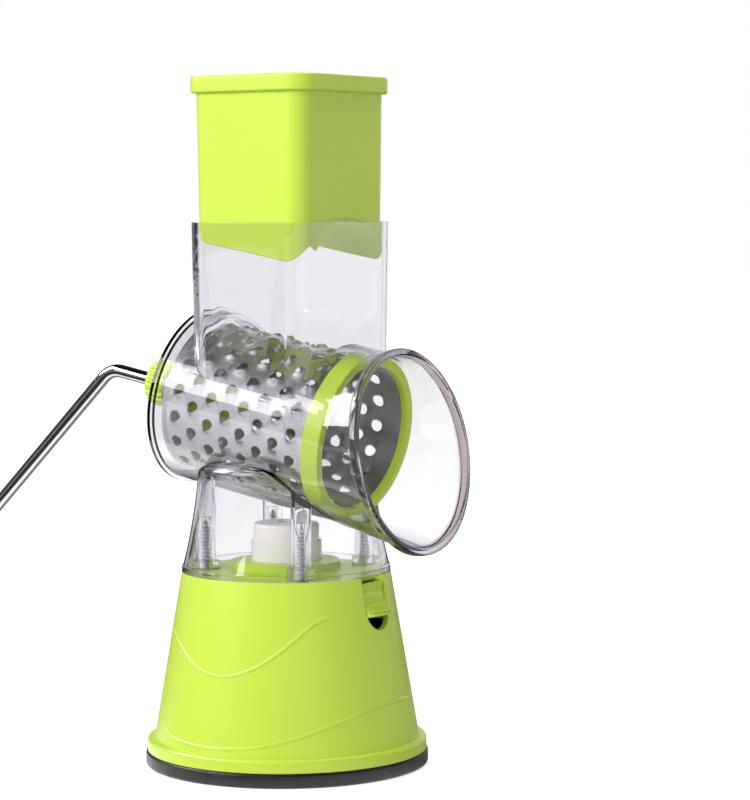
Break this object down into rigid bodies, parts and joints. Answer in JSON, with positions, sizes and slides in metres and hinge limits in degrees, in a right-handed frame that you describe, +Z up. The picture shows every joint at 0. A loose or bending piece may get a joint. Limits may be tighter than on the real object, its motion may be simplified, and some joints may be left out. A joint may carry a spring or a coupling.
{
  "type": "rotary shredder",
  "caption": "Hand cranked rotary drum shredder with a clear feed hopper and outlet, a pusher, and a conical base that holds a table by suction.",
  "frame": {"origin": "centre of the suction cup's underside, on the surface the shredder stands on", "axes": "+Z up; +X from the crank to the outlet, level, in the plane of the drum's axis; +Y to the left of someone looking along +X"},
  "size_m": [0.3174, 0.125, 0.3019],
  "materials": {
    "green_abs": "glossy moulded ABS",
    "clear_styrene": "clear moulded SAN, polished",
    "black_rubber": "matte",
    "white_nylon": "satin",
    "stainless_sheet": "rolled and punched",
    "chromed_rod": "polished",
    "zinc_steel": "zinc plated",
    "brass": "machined"
  },
  "bodies": {
    "base": {"suction_cup": "black_rubber", "base_shell": "green_abs", "cup_spring": "zinc_steel", "guide_collar": "white_nylon", "lever_pin": "zinc_steel", "clear_body": "clear_styrene", "body_screws": "zinc_steel", "neck_bush": "white_nylon"},
    "lift": {"cup_stem": "white_nylon", "thrust_ring": "zinc_steel", "lift_cap": "white_nylon", "cap_screw": "zinc_steel"},
    "lever": {"suction_lever": "green_abs"},
    "rotor": {"drum_shell": "stainless_sheet", "drum_ring": "green_abs", "drum_end_plate": "stainless_sheet", "drum_hub": "green_abs", "drive_nut": "brass", "hub_rivets": "stainless_sheet", "crank_rod": "chromed_rod", "crank_knob": "green_abs", "grip_clip": "zinc_steel"},
    "grip": {"crank_grip": "green_abs", "grip_plug": "green_abs"},
    "pusher": {"pusher": "green_abs"}
  },
  "joints": [
    {"name": "drum_spin", "type": "hinge", "parent": "base", "child": "rotor", "pos_m": [0, 0, 0.1534], "axis": [0.9827, 0, -0.185], "continuous": true},
    {"name": "grip_spin", "type": "hinge", "parent": "rotor", "child": "grip", "pos_m": [-0.01572, 0, 0.06987], "axis": [0.9827, 0, -0.185], "continuous": true},
    {"name": "pusher_slide", "type": "slide", "parent": "base", "child": "pusher", "axis": [0, 0, 1], "range_m": [-0.0555, 0.03]},
    {"name": "lever_tilt", "type": "hinge", "parent": "base", "child": "lever", "pos_m": [0.037, 0, 0.076], "axis": [0, -1, 0], "range_deg": [0, 10]},
    {"name": "lift_slide", "type": "slide", "parent": "base", "child": "lift", "axis": [0, 0, 1], "range_m": [-0.00646, 0], "deforming": ["cup_spring", "suction_cup"]}
  ],
  "couplings": [
    {"joint": "lift_slide", "follows": "lever_tilt", "m_per_rad": -0.037}
  ]
}
